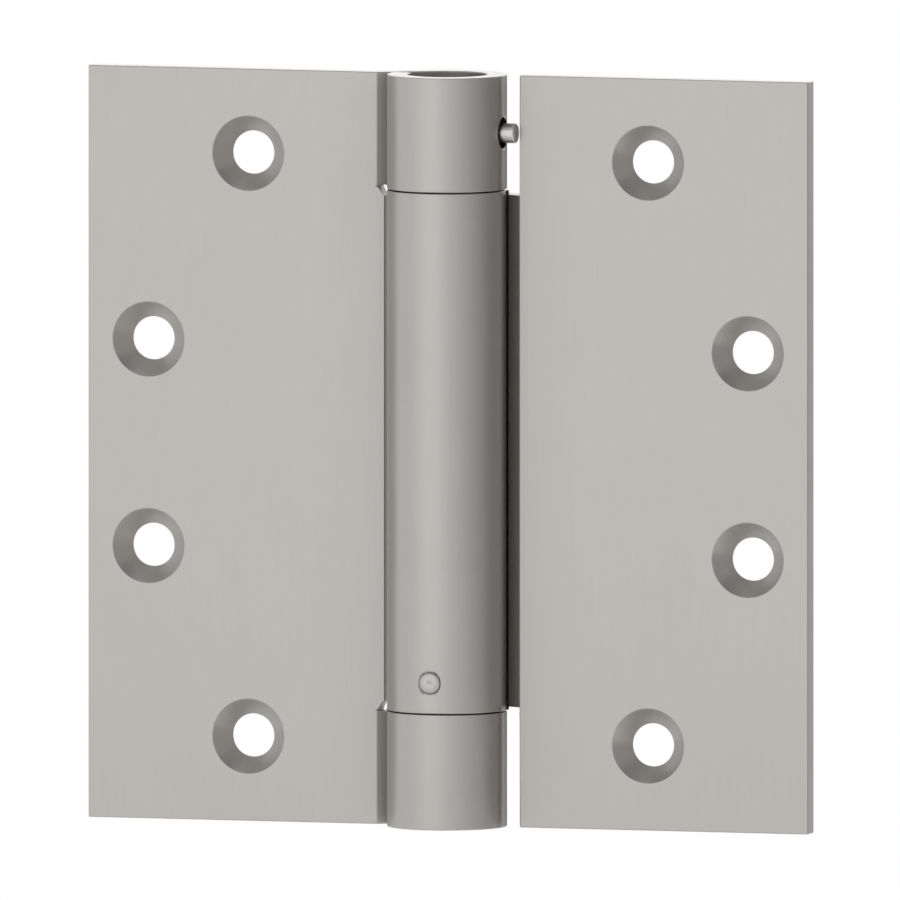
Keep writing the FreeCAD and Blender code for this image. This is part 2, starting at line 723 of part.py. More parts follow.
def check_and_write(pieces):
    """Refuse a failed feature or a bad solid, then write one file for each piece."""
    doc.recompute()
    for item in doc.Objects:
        if "Invalid" in item.State or "Error" in item.State:
            raise RuntimeError(f"{item.Name} failed: {item.State}")
    for piece in pieces:
        shape = piece.Shape
        if shape.isNull() or not shape.isValid() or len(shape.Solids) != 1:
            raise RuntimeError(f"{piece.Label} is not one valid solid")
        box = shape.BoundBox
        print(f"{piece.Label}: {box.XLength:.2f} x {box.YLength:.2f} x {box.ZLength:.2f}, {shape.Volume:.1f}")
    os.makedirs("parts", exist_ok=True)
    for piece in pieces:
        piece.Shape.exportStep(f"parts/{piece.Label}.step")


check_and_write(make_all())
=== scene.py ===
import math

import bpy
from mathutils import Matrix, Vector


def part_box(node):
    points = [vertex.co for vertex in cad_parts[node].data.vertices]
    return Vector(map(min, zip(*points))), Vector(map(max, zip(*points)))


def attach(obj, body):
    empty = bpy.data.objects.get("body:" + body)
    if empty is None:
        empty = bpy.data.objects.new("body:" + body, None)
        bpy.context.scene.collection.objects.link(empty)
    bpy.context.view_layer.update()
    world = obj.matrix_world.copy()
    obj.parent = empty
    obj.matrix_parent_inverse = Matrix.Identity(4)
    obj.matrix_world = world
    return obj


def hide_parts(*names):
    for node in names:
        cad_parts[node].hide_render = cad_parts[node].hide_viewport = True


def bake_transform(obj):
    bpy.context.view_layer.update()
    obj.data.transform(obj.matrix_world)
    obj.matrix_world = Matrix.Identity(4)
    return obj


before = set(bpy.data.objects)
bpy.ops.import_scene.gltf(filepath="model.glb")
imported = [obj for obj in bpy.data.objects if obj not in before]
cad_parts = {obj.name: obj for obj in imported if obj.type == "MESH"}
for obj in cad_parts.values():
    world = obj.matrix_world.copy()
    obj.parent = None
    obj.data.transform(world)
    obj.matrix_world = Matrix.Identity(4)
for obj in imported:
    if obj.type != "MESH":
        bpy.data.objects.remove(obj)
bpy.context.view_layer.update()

# Sizes and places are in metres, in the frame's own axes. Z is the barrel's axis.
MM = 0.001
X, Y, Z = 0, 1, 2


def sides(cad_name, axis):
    """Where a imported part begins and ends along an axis, to the micrometre."""
    low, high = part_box(cad_name)
    return round(low[axis], 6), round(high[axis], 6)


def middle(cad_name, axis):
    """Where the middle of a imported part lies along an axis."""
    return sum(sides(cad_name, axis)) / 2


# The formed leaves. Holes are given by their radius, and screws by their distance from the barrel's
# axis and their height.
GAUGE = 3.05 * MM
FACE = 0.5 * MM
BACK = FACE + GAUGE
LEAF_REACH = sides("door_leaf", X)[1]
LEAF_TOP = sides("door_leaf", Z)[1]
OUTER = sides("frame_leaf", X)[1]
INNER = OUTER - GAUGE
FIT = 0.05 * MM
BEND_LINE = OUTER + 2.25 * MM
FRAME_EDGE = OUTER + 0.97 * MM
STRIP_LAP = 3.0 * MM
ROOT = BEND_LINE + STRIP_LAP / 2
FRONT_BEND = 0.6 * MM
BACK_BEND = 0.5 * MM
ROLL_SLIT = 0.2 * MM
KNUCKLE_GAP = 0.3 * MM
JOINT = LEAF_TOP - 17.55 * MM
MIDDLE_END = JOINT - KNUCKLE_GAP / 2
FRAME_END = JOINT + KNUCKLE_GAP / 2
FRAME_RELIEF = (JOINT - 1.2 * MM, JOINT + 0.4 * MM)
DOOR_RELIEF = (JOINT - 0.7 * MM, FRAME_END)
SCREWS = (
    (LEAF_REACH - 25.4 * MM, LEAF_TOP - 12.85 * MM),
    (LEAF_REACH - 9.55 * MM, 15.7 * MM),
)
SCREW_HOLE = 3.275 * MM
SCREW_SINK = 5.7 * MM
SINK_SLOPE = math.tan(math.radians(41))
ACCESS_HOLE = 2.4 * MM
FLANGE_SEAT = 0.95 * MM
FLANGE_BORE = sides("upper_bush", X)[1] + FIT

# The turned pieces, and the wire that they hold. PLUG, JOURNAL, STUB and the two pins are radii.
WIRE = 2.3 * MM
PLUG = sides("tension_plug", X)[1]
PLUG_FOOT, PLUG_TOP = sides("tension_plug", Z)
JOURNAL = 4.2 * MM
JOURNAL_FOOT = sides("upper_bush", Z)[0] - 0.3 * MM
STUB = 2.8 * MM
HALF_SLOT = WIRE / 2 + 0.1 * MM
SLOT_TOP = PLUG_FOOT + 4.2 * MM
KEY_CORNER = 4.8 * MM / math.sqrt(3)
KEY_DEPTH = 5.5 * MM
KEY_LEAD = 0.8 * MM
TENSION_HOLES = 6
TENSION_START, TENSION_END = sides("tension_pin", X)
TENSION_HEIGHT = middle("tension_pin", Z)
TENSION_PIN = sides("tension_pin", Z)[1] - TENSION_HEIGHT
ANCHOR_START = sides("anchor_pin", Y)[1]
ANCHOR_HEIGHT = middle("anchor_pin", Z)
ANCHOR_PIN = sides("anchor_pin", Z)[1] - ANCHOR_HEIGHT
CAP_FOOT, CAP_TOP = sides("bottom_cap", Z)

# The spring. Its low and high places are the middle of its wire.
COIL = INNER - WIRE / 2 - 0.45 * MM
TAIL_BEND = 1.5 * MM
TAIL_END = STUB - 0.3 * MM
SPRING_LOW = sides("torsion_spring", Z)[0] + WIRE / 2
SPRING_HIGH = sides("torsion_spring", Z)[1] - WIRE / 2
TURNS = 16
TURN_STEPS = 48
TAIL_STEPS = 20

# What making and use do to edges. The knuckles stand a little proud into the gaps between them,
# because the photo shows thinner gaps than the solids have.
KNUCKLE_PROUD = KNUCKLE_GAP / 2
EDGE_ROUND = 0.18 * MM
RIM_ROUND = 0.12 * MM
PIN_BREAK = 0.35 * MM
ACCESS_BREAK = 0.25 * MM
ACCESS_FLARE = 1.0 * MM
ANCHOR_BREAK = 0.35 * MM
ANCHOR_FLARE = 1.3 * MM
NOTCH_TAPER = 0.9 * MM

# How far a cutter stands out of what it cuts.
PROUD = 1.0 * MM

# How far back a notch goes, and where one beside the middle knuckle starts behind the barrel.
NOTCH_BACK = 9.5 * MM
BEHIND_BARREL = (7.1 * MM, 2.2 * MM)

# How many flats draw a round piece, and how directly a face has to look along an axis to be an end.
FACETS = 72
FINE_FACETS = 96
FACING = 0.9


# Modelling by hand: each helper is one plain step at the bench.

def put_down():
    """Leave edit mode with nothing selected."""
    if bpy.context.active_object and bpy.context.mode != "OBJECT":
        bpy.ops.object.mode_set(mode="OBJECT")
    bpy.ops.object.select_all(action="DESELECT")


def take(piece):
    """Make this piece the only one in hand."""
    put_down()
    piece.select_set(True)
    bpy.context.view_layer.objects.active = piece


def name_new(name, scale=(1, 1, 1)):
    """Name the primitive that was just added, with its place and size put into its mesh."""
    piece = bpy.context.active_object
    piece.name = name
    piece.data.name = name
    piece.scale = scale
    bpy.ops.object.transform_apply(location=True, rotation=True, scale=True)
    return piece


def edit_with(piece, mode):
    """Open a piece in edit mode with nothing selected. Mode is VERT, EDGE or FACE."""
    take(piece)
    bpy.ops.object.mode_set(mode="EDIT")
    bpy.ops.mesh.select_mode(type=mode)
    bpy.ops.mesh.select_all(action="DESELECT")


def edit_all(piece, mode="FACE"):
    """Open a piece in edit mode with all of it selected."""
    edit_with(piece, mode)
    bpy.ops.mesh.select_all(action="SELECT")


def pick(piece, mode, parts, test):
    """Select the parts of a mesh that pass the test: its vertices, edges or polygons."""
    edit_with(piece, mode)
    bpy.ops.object.mode_set(mode="OBJECT")
    for part in getattr(piece.data, parts):
        part.select = test(part)
    bpy.ops.object.mode_set(mode="EDIT")


def ends(piece, edge):
    """The places of an edge's two ends."""
    return [piece.data.vertices[i].co for i in edge.vertices]


def pick_points(piece, test):
    """Select the points whose place passes the test."""
    pick(piece, "VERT", "vertices", lambda point: test(point.co))


def pick_edges(piece, test):
    """Select the edges whose two ends pass the test."""
    pick(piece, "EDGE", "edges", lambda edge: test(*ends(piece, edge)))


def pick_faces(piece, test):
    """Select the faces whose middle and normal pass the test."""
    pick(piece, "FACE", "polygons", lambda face: test(face.center, face.normal))


def pick_corners(piece, test):
    """Select the edges whose ends pass the test, where two faces meet at more than sixty degrees."""
    take(piece)
    looks = {}
    for face in piece.data.polygons:
        for key in face.edge_keys:
            looks.setdefault(key, []).append(face.normal.copy())
    sharp = {key for key, (one, other) in looks.items() if one.dot(other) < math.cos(math.pi / 3)}
    pick(piece, "EDGE", "edges", lambda edge: edge.key in sharp and test(*ends(piece, edge)))


def pick_end(piece, axis, way, at):
    """Select the flat end that lies at a place on an axis and faces one way along it, 1 or -1."""
    pick_faces(piece, lambda c, n: way * n[axis] > FACING and near(c[axis], at))


def pick_face_at(piece, place):
    """Select the face whose middle is at a place."""
    pick_faces(piece, lambda c, n: (c - place).length < 0.1 * MM)


def near(a, b, reach=0.01 * MM):
    """Whether two numbers are as good as equal."""
    return abs(a - b) < reach


def draw_out(x, y, z):
    """Extrude what is selected."""
    bpy.ops.mesh.extrude_region_move(TRANSFORM_OT_translate={"value": (x, y, z)})


def round_over(width):
    """Round the edges that are selected."""
    bpy.ops.mesh.bevel(offset=width, segments=3, affect="EDGES")
    put_down()


def turn_outwards(piece):
    """Merge doubled points and point every face outwards, while the piece is still one closed shell."""
    edit_all(piece)
    bpy.ops.mesh.remove_doubles(threshold=0.001 * MM)
    bpy.ops.mesh.normals_make_consistent(inside=False)
    put_down()


def use_modifier(piece, name, kind, **settings):
    """Add a modifier and apply it."""
    take(piece)
    modifier = piece.modifiers.new(name, kind)
    for key, value in settings.items():
        setattr(modifier, key, value)
    bpy.ops.object.modifier_apply(modifier=modifier.name)


def join_up(first, *others):
    """Several meshes as one."""
    take(first)
    for other in others:
        other.select_set(True)
    bpy.ops.object.join()
    return first


def work_together(piece, operation, *tools):
    """Use other solids on a piece and put them in the bin."""
    tool = join_up(*tools)
    use_modifier(
        piece, operation.lower(), "BOOLEAN", operation=operation, solver="EXACT", object=tool
    )
    bpy.data.objects.remove(tool)


def weld_on(piece, *tools):
    """Make other solids part of a piece."""
    work_together(piece, "UNION", *tools)


def cut_away(piece, *tools):
    """Take other solids out of a piece."""
    work_together(piece, "DIFFERENCE", *tools)


def tapered_bar(name, radius, end_radius, start, end, facets=FACETS):
    """A round bar between two points, whose radius changes evenly from its start to its end."""
    start = Vector(start)
    run = Vector(end) - start
    turn = Vector((0, 0, 1)).rotation_difference(run).to_euler()
    put_down()
    bpy.ops.mesh.primitive_cone_add(
        vertices=facets, radius1=radius, radius2=end_radius, depth=run.length,
        location=start + run / 2, rotation=turn,
    )
    return name_new(name)


def round_bar(name, radius, start, end, facets=FACETS):
    """A round bar from one point to another."""
    return tapered_bar(name, radius, radius, start, end, facets)


def flared_drill(name, radius, start, end, flare):
    """A drill from one point to another, which goes on past its end and widens by the flare there."""
    drill = round_bar(name, radius, start, end)
    way = (Vector(end) - Vector(start)).normalized()
    pick_faces(drill, lambda c, n: n.dot(way) > FACING)
    draw_out(*(PROUD * way))
    growth = 1 + flare / radius
    bpy.ops.transform.resize(value=(growth, growth, growth))
    put_down()
    return drill


def block(name, low, high):
    """A square block between two corners."""
    low = Vector(low)
    high = Vector(high)
    put_down()
    bpy.ops.mesh.primitive_cube_add(size=1, location=(low + high) / 2)
    return name_new(name, high - low)


def soften_edges(piece, width):
    """Round every sharp edge a little. Pieces whose edges are rounded already have no width."""
    if width:
        use_modifier(
            piece, "rounded edges", "BEVEL", width=width, segments=3, limit_method="ANGLE",
            angle_limit=math.radians(35), use_clamp_overlap=False,
        )
    take(piece)
    bpy.ops.object.shade_smooth_by_angle(angle=math.radians(40))
    use_modifier(piece, "flats", "WEIGHTED_NORMAL", mode="FACE_AREA", weight=80, keep_sharp=True)
    put_down()


# The rolled leaves. A strip leans back from its leaf, so that it runs straight onto its roll.

LEAN = math.asin(INNER / math.hypot(BEND_LINE, FACE)) - math.atan2(FACE, BEND_LINE)
MITRE = GAUGE * math.tan(LEAN / 2)
ROLL_STEPS = 104


def rolled_strip(name, side, low, high):
    """A knuckle. Its strip leaves the flat leaf, bends back, runs straight and is rolled round the
    bore. Side is -1 or 1 for the way that the leaf lies from the barrel."""
    level = (low + high) / 2
    centre = (FACE + BACK) / 2
    touch = math.pi / 2 + LEAN
    rolled = 2 * math.pi - math.acos((INNER - ROLL_SLIT) / OUTER)
    run = math.hypot(BEND_LINE + INNER * math.cos(touch), INNER * math.sin(touch) - FACE)

    # The lap on the leaf, with its end cut to the mitre of the bend.
    put_down()
    bpy.ops.mesh.primitive_plane_add(
        size=1, location=(side * (BEND_LINE + STRIP_LAP), centre, level), rotation=(0, math.pi / 2, 0)
    )
    strip = name_new(name, (high - low, GAUGE, 1))
    edit_all(strip)
    draw_out(-side * STRIP_LAP, 0, 0)
    pick_points(strip, lambda p: near(p.x, side * BEND_LINE) and near(p.y, BACK))
    bpy.ops.transform.translate(value=(side * MITRE, 0, 0))

    # The straight run, with its end squared.
    pick_face_at(strip, Vector((side * (BEND_LINE + MITRE / 2), centre, level)))
    draw_out(-side * run * math.cos(LEAN), run * math.sin(LEAN), 0)
    past = BACK + (run - 0.1 * MM) * math.sin(LEAN)
    pick_points(strip, lambda p: p.y > past)
    bpy.ops.transform.translate(value=(side * MITRE * math.cos(LEAN), -MITRE * math.sin(LEAN), 0))

    # The roll, whose first face is inside the steel and goes.
    radius = (INNER + OUTER) / 2
    start = Vector((-side * radius * math.cos(touch), radius * math.sin(touch), level))
    pick_face_at(strip, start)
    bpy.ops.mesh.spin(steps=ROLL_STEPS, angle=-side * rolled, center=(0, 0, 0), axis=(0, 0, 1))
    pick_face_at(strip, start)
    bpy.ops.mesh.delete(type="ONLY_FACE")
    turn_outwards(strip)

    for x, y, bend in ((BEND_LINE, FACE, FRONT_BEND), (BEND_LINE + MITRE, BACK, BACK_BEND)):
        pick_edges(strip, lambda a, b: all(near(p.x, side * x) and near(p.y, y) for p in (a, b)))
        bpy.ops.mesh.bevel(offset=bend * math.tan(LEAN / 2), segments=2, affect="EDGES")
    put_down()
    return strip


def leaf_plate(name, side, inner, level, keep):
    """The flat of a leaf. Its inner edge steps in at a height, and keep says which part stands further
    in."""
    put_down()
    bpy.ops.mesh.primitive_plane_add(
        size=1, location=(side * (LEAF_REACH + inner) / 2, FACE, 0), rotation=(math.pi / 2, 0, 0)
    )
    plate = name_new(name, (LEAF_REACH - inner, 2 * LEAF_TOP, 1))
    edit_all(plate)
    for place, normal in (
        ((side * ROOT, 0, 0), (1, 0, 0)),
        ((0, 0, level), (0, 0, 1)),
        ((0, 0, -level), (0, 0, 1)),
    ):
        bpy.ops.mesh.select_all(action="SELECT")
        bpy.ops.mesh.bisect(plane_co=place, plane_no=normal)
    pick_faces(plate, lambda c, n: abs(c.x) < ROOT and not keep(abs(c.z)))
    bpy.ops.mesh.delete(type="FACE")
    bpy.ops.mesh.select_all(action="SELECT")
    draw_out(0, GAUGE, 0)
    turn_outwards(plate)
    return plate


def round_leaf(leaf, side, inner, knuckle_end):
    """Round the leaf's outline and the ends of its knuckles, as shearing and rolling leave them."""

    def worn(a, b):
        if near(a.x, b.x) and not near(a.z, b.z):
            return near(side * a.x, LEAF_REACH) or near(side * a.x, inner)
        if not near(a.z, b.z):
            return False
        if near(abs(a.z), LEAF_TOP):
            return True
        at_end = near(abs(a.z), knuckle_end, 1.1 * KNUCKLE_PROUD)
        return at_end and max(side * a.x, side * b.x) < BEND_LINE - FIT

    # Each flat end becomes one face, because rounding goes wrong where two of them meet.
    pick_faces(leaf, lambda c, n: abs(n.z) > FACING)
    bpy.ops.mesh.dissolve_limited(angle_limit=math.radians(1))
    pick_corners(leaf, worn)
    round_over(EDGE_ROUND)


def screw_cutters(side):
    """Four countersunk drills through a leaf. Each starts in front of it, as far forward as the axis."""
    foot = FACE + (SCREW_SINK - SCREW_HOLE) / SINK_SLOPE
    cutters = []
    for x, height in SCREWS:
        for z in (height, -height):
            sink = tapered_bar(
                "sink", SCREW_SINK + FACE * SINK_SLOPE, SCREW_HOLE,
                (side * x, 0, z), (side * x, foot, z), FINE_FACETS,
            )
            pick_end(sink, Y, 1, foot)
            draw_out(0, GAUGE, 0)
            put_down()
            cutters.append(sink)
    return cutters


def break_screw_holes(leaf, side):
    """Take the sharp edge off the countersinks, in front, and off the holes, behind."""

    def on_rim(point, level, radius):
        return near(point.y, level) and any(
            near(math.hypot(point.x - side * x, abs(point.z) - height), radius, 0.02 * MM)
            for x, height in SCREWS
        )

    for level, radius in ((FACE, SCREW_SINK), (BACK, SCREW_HOLE)):
        pick_edges(leaf, lambda a, b: on_rim(a, level, radius) and on_rim(b, level, radius))
        round_over(RIM_ROUND)


def tapered_notch(wide, narrow):
    """A cutter for the relief beside a frame knuckle, from its wide height to its narrow one."""
    low, high = sorted((wide, narrow))
    cutter = block("notch", (-BEND_LINE, -PROUD, low), (FIT - FRAME_EDGE, NOTCH_BACK, high))
    pick_points(cutter, lambda p: near(p.z, narrow) and near(p.x, -BEND_LINE))
    bpy.ops.transform.translate(value=(NOTCH_TAPER, 0, 0))
    put_down()
    return cutter


def make_frame_leaf():
    """The leaf with the top and bottom knuckles."""
    leaf = leaf_plate("rolled_frame_leaf", -1, FRAME_EDGE, FRAME_END, lambda z: z < FRAME_END)
    weld_on(
        leaf,
        rolled_strip("top_knuckle", -1, FRAME_END, LEAF_TOP),
        rolled_strip("bottom_knuckle", -1, -LEAF_TOP, KNUCKLE_PROUD - FRAME_END),
    )
    low, high = FRAME_RELIEF
    seat_foot = (0, 0, -FRAME_END - FLANGE_SEAT)
    hole_end = (OUTER - ACCESS_BREAK, 0, TENSION_HEIGHT)
    cut_away(
        leaf,
        round_bar("seat", FLANGE_BORE, seat_foot, (0, 0, PROUD - FRAME_END), FINE_FACETS),
        flared_drill("access", ACCESS_HOLE, (PROUD, 0, TENSION_HEIGHT), hole_end, ACCESS_FLARE),
        tapered_notch(high, low),
        tapered_notch(-high, -low),
        *screw_cutters(-1),
    )
    round_leaf(leaf, -1, FRAME_EDGE, FRAME_END)
    break_screw_holes(leaf, -1)
    return leaf


def make_door_leaf():
    """The leaf with the long middle knuckle."""
    low, high = DOOR_RELIEF
    leaf = leaf_plate("rolled_door_leaf", 1, BEND_LINE, low, lambda z: z > low)
    weld_on(leaf, rolled_strip("middle_knuckle", 1, -MIDDLE_END, MIDDLE_END + KNUCKLE_PROUD))
    beside = []
    behind = []
    for foot, top in ((low, high), (-high, -low)):
        beside.append(block("notch", (OUTER + 2 * FIT, -PROUD, foot), (BEND_LINE, NOTCH_BACK, top)))
        behind.append(block("notch", (*BEHIND_BARREL, foot), (OUTER + 4 * FIT, NOTCH_BACK, top)))
    cut_away(leaf, *behind)
    seat_foot = (0, 0, MIDDLE_END - FLANGE_SEAT)
    hole_end = (0, ANCHOR_BREAK - OUTER, ANCHOR_HEIGHT)
    hole_radius = ANCHOR_PIN + FIT / 4
    cut_away(
        leaf,
        round_bar("seat", FLANGE_BORE, seat_foot, (0, 0, MIDDLE_END + PROUD), FINE_FACETS),
        flared_drill("anchor", hole_radius, (0, -PROUD, ANCHOR_HEIGHT), hole_end, ANCHOR_FLARE),
        *beside,
        *screw_cutters(1),
    )
    round_leaf(leaf, 1, BEND_LINE, MIDDLE_END)
    break_screw_holes(leaf, 1)
    return leaf


# The turned pieces.

def step_down(piece, facing, inset, foot):
    """Turn a smaller length on the lower end of a bar: the end is inset and drawn out to its foot."""
    pick_end(piece, Z, -1, facing)
    bpy.ops.mesh.inset(thickness=inset, depth=0)
    draw_out(0, 0, foot - facing)


def make_tension_plug():
    """The plug in the top knuckle, with its key socket, its tension holes and its slotted stub."""
    plug = round_bar("turned_tension_plug", PLUG, (0, 0, FRAME_END), (0, 0, PLUG_TOP), FINE_FACETS)
    step_down(plug, FRAME_END, PLUG - JOURNAL, JOURNAL_FOOT)
    step_down(plug, JOURNAL_FOOT, JOURNAL - STUB, PLUG_FOOT)
    pick_corners(plug, lambda a, b: near(a.z, PLUG_TOP) or near(a.z, PLUG_FOOT))
    round_over(EDGE_ROUND)

    # The hexagonal socket, with a conical lead for the key.
    socket = round_bar("socket", KEY_CORNER, (0, 0, PLUG_TOP - KEY_DEPTH), (0, 0, PLUG_TOP + PROUD), 6)
    stand = PROUD - KEY_LEAD
    weld_on(socket, tapered_bar(
        "lead", KEY_CORNER, KEY_CORNER + PROUD,
        (0, 0, PLUG_TOP - KEY_LEAD), (0, 0, PLUG_TOP + stand), FINE_FACETS,
    ))
    edit_all(socket)
    bpy.ops.transform.rotate(value=math.pi / 6, orient_axis="Z", center_override=(0, 0, 0))
    slot = block("slot", (-PLUG, -HALF_SLOT, PLUG_FOOT - PROUD), (PLUG, HALF_SLOT, SLOT_TOP))

    centre = Vector((0, 0, TENSION_HEIGHT))
    drills = []
    for i in range(TENSION_HOLES):
        angle = 2 * math.pi / TENSION_HOLES * i
        way = Vector((math.cos(angle), math.sin(angle), 0))
        start = centre + way * PLUG / 2
        drills.append(round_bar("pin_hole", TENSION_PIN + FIT, start, centre + way * OUTER, 48))
    cut_away(plug, socket, slot, *drills)
    return plug


def make_tension_pin():
    """The loose pin that stops the plug, with its outer end broken all round."""
    pin = round_bar(
        "turned_tension_pin", TENSION_PIN,
        (TENSION_START, 0, TENSION_HEIGHT), (TENSION_END, 0, TENSION_HEIGHT), 64,
    )
    pick_corners(pin, lambda a, b: near(a.x, TENSION_END) and near(b.x, TENSION_END))
    round_over(PIN_BREAK)
    return pin


def make_anchor_pin():
    """The pin that holds the anchor plug. Its end is faced with a shallow slope round a flat, and the
    flat has a small centre mark."""
    slope_width = 0.95 * MM
    mark_width = 0.2 * MM
    mark_depth = 0.12 * MM
    rim_drop = 0.7 * PIN_BREAK
    pin = round_bar(
        "turned_anchor_pin", ANCHOR_PIN,
        (0, ANCHOR_START, ANCHOR_HEIGHT), (0, -OUTER, ANCHOR_HEIGHT), 64,
    )
    pick_end(pin, Y, -1, -OUTER)
    bpy.ops.mesh.inset(thickness=PIN_BREAK, depth=0)
    bpy.ops.mesh.inset(thickness=slope_width, depth=0)
    bpy.ops.mesh.inset(thickness=mark_width, depth=-mark_depth)
    pick_points(
        pin,
        lambda p: near(p.y, -OUTER) and near(math.hypot(p.x, p.z - ANCHOR_HEIGHT), ANCHOR_PIN),
    )
    bpy.ops.transform.translate(value=(0, rim_drop, 0))
    put_down()
    return pin


def make_bottom_cap():
    """The plug that closes the bottom knuckle. Its foot is turned to a shallow dish with a rim."""
    rim_width = 0.8 * MM
    slope_width = 0.5 * MM
    dish_depth = 0.4 * MM
    cap = round_bar("turned_bottom_cap", PLUG, (0, 0, CAP_FOOT), (0, 0, CAP_TOP), FINE_FACETS)
    pick_corners(cap, lambda a, b: near(a.z, CAP_FOOT) and near(b.z, CAP_FOOT))
    round_over(PIN_BREAK)
    pick_end(cap, Z, -1, CAP_FOOT)
    bpy.ops.mesh.inset(thickness=rim_width, depth=0)
    bpy.ops.mesh.inset(thickness=slope_width, depth=-dish_depth)
    put_down()
    return cap


def lay_tail(spring, start, side, height):
    """Bend one end of the coil in and lay it straight. Start is the coil's angle there, and side is -1
    for the lower end and 1 for the upper one."""
    bend_x = (COIL - TAIL_BEND) * math.cos(start)
    coil_end = Vector((COIL * math.cos(start), -side * COIL * math.sin(start), height))

    def at_coil_end(point):
        turned = near(math.atan2(point.y, point.x), -side * start, 1e-4)
        return turned and (point - coil_end).length < 0.8 * WIRE

    def at_bend_end(point):
        close = abs(point.y) < 0.6 * WIRE and near(point.z, height, 0.6 * WIRE)
        return close and near(point.x, bend_x)

    pick_edges(spring, lambda a, b: at_coil_end(a) and at_coil_end(b))
    bpy.ops.mesh.spin(
        steps=TAIL_STEPS, angle=-side * (start + math.pi / 2),
        center=(bend_x, -side * TAIL_BEND, height), axis=(0, 0, 1),
    )
    pick_edges(spring, lambda a, b: at_bend_end(a) and at_bend_end(b))
    draw_out(-bend_x - TAIL_END, 0, 0)
    bpy.ops.mesh.edge_face_add()


def make_spring():
    """The torsion spring: square wire wound in whole turns, with each end bent in and laid straight."""
    start = math.asin(TAIL_BEND / (COIL - TAIL_BEND))
    swept = 2 * (math.pi * TURNS - start)
    put_down()
    bpy.ops.mesh.primitive_plane_add(
        size=WIRE,
        location=(COIL * math.cos(start), COIL * math.sin(start), SPRING_LOW),
        rotation=(math.pi / 2, 0, start),
    )
    spring = name_new("wound_spring")
    use_modifier(
        spring, "coil", "SCREW", axis="Z", angle=swept / TURNS, iterations=TURNS, steps=TURN_STEPS,
        render_steps=TURN_STEPS, screw_offset=(SPRING_HIGH - SPRING_LOW) / TURNS, use_smooth_shade=True,
    )
    lay_tail(spring, start, -1, SPRING_LOW)
    lay_tail(spring, start, 1, SPRING_HIGH)
    turn_outwards(spring)
    return spring


# Short ways to add shader nodes. Most of them give the socket that the next node needs.

def node(tree, kind, inputs=None, **settings):
    """Add a node. Settings are set on it, and inputs are values or sockets by the name of the input."""
    made = tree.nodes.new(kind)
    for key, value in settings.items():
        setattr(made, key, value)
    for key, value in (inputs or {}).items():
        if isinstance(value, bpy.types.NodeSocket):
            tree.links.new(value, made.inputs[key])
        else:
            made.inputs[key].default_value = value
    return made


def work_out(tree, operation, *values, **settings):
    """The result of one sum."""
    inputs = dict(enumerate(values))
    return node(tree, "ShaderNodeMath", inputs, operation=operation, **settings).outputs[0]


def own_place(tree):
    """Where the shaded point is on its own piece."""
    return node(tree, "ShaderNodeTexCoord").outputs["Object"]


def cloud(tree, place, scale, detail, **more):
    """A soft random pattern from 0 to 1."""
    inputs = {"Vector": place, "Scale": scale, "Detail": detail, **more}
    return node(tree, "ShaderNodeTexNoise", inputs).outputs["Fac"]


def share_of_way(tree, value, start, end, **settings):
    """How far a value has come from start to end, from 0 to 1."""
    inputs = {"Value": value, "From Min": start, "From Max": end}
    return node(tree, "ShaderNodeMapRange", inputs, **settings).outputs["Result"]


def spread(tree, share, low, high):
    """A share from 0 to 1 as a number between low and high."""
    inputs = {"Value": share, "To Min": low, "To Max": high}
    return node(tree, "ShaderNodeMapRange", inputs).outputs["Result"]


def mix_colour(tree, share, dull, bright):
    """A colour between two others. Each of them is a colour or the socket of one."""
    mixer = node(tree, "ShaderNodeMix", data_type="RGBA")
    tree.links.new(share, mixer.inputs["Factor"])
    for key, value in (("A", dull), ("B", bright)):
        socket = next(s for s in mixer.inputs if s.name == key and s.type == "RGBA")
        if isinstance(value, bpy.types.NodeSocket):
            tree.links.new(value, socket)
        else:
            socket.default_value = (*value, 1)
    return next(s for s in mixer.outputs if s.type == "RGBA")


def mix_shaders(tree, share, first, second):
    """One shader where the share is 0 and another where it is 1."""
    return node(tree, "ShaderNodeMixShader", {0: share, 1: first.outputs[0], 2: second.outputs[0]})


# Effects that several finishes share, each built once as a group.

def add_socket(group, name, way):
    """A number that goes into a group or comes out of it."""
    return group.interface.new_socket(name=name, in_out=way, socket_type="NodeSocketFloat")


def new_group(name, numbers, *results):
    """An empty shader group, with the numbers that can be set, and its results, by name."""
    group = bpy.data.node_groups.new(name, "ShaderNodeTree")
    for label, value in numbers.items():
        add_socket(group, label, "INPUT").default_value = value
    for label in results:
        add_socket(group, label, "OUTPUT")
    enter = group.nodes.new("NodeGroupInput")
    leave = group.nodes.new("NodeGroupOutput")
    return group, enter.outputs, leave.inputs


def make_grain():
    """Fine grain drawn out along the barrel, as brushing and rolling leave it."""
    numbers = {"Fineness": 3000.0, "Length": 12.0}
    tree, given, out = new_group("drawn grain", numbers, "Grain", "Height")
    place = own_place(tree)
    along = work_out(tree, "DIVIDE", given["Fineness"], given["Length"])
    scale = node(
        tree, "ShaderNodeCombineXYZ", {"X": given["Fineness"], "Y": given["Fineness"], "Z": along}
    )
    drawn = node(tree, "ShaderNodeVectorMath", {0: place, 1: scale.outputs[0]}, operation="MULTIPLY")
    streaks = cloud(tree, drawn.outputs[0], 1.0, 4.0, Roughness=0.6)
    fine = cloud(tree, place, 9000.0, 2.0)
    tree.links.new(streaks, out["Grain"])
    tree.links.new(work_out(tree, "MULTIPLY_ADD", fine, 0.35, streaks), out["Height"])
    return tree


def make_haze():
    """Broad soft patches, as handling and plating leave them."""
    tree, given, out = new_group("handling haze", {"Patches": 60.0}, "Haze")
    patches = cloud(tree, own_place(tree), given["Patches"], 5.0, Roughness=0.65, Distortion=0.6)
    tree.links.new(share_of_way(tree, patches, 0.3, 0.7), out["Haze"])
    return tree


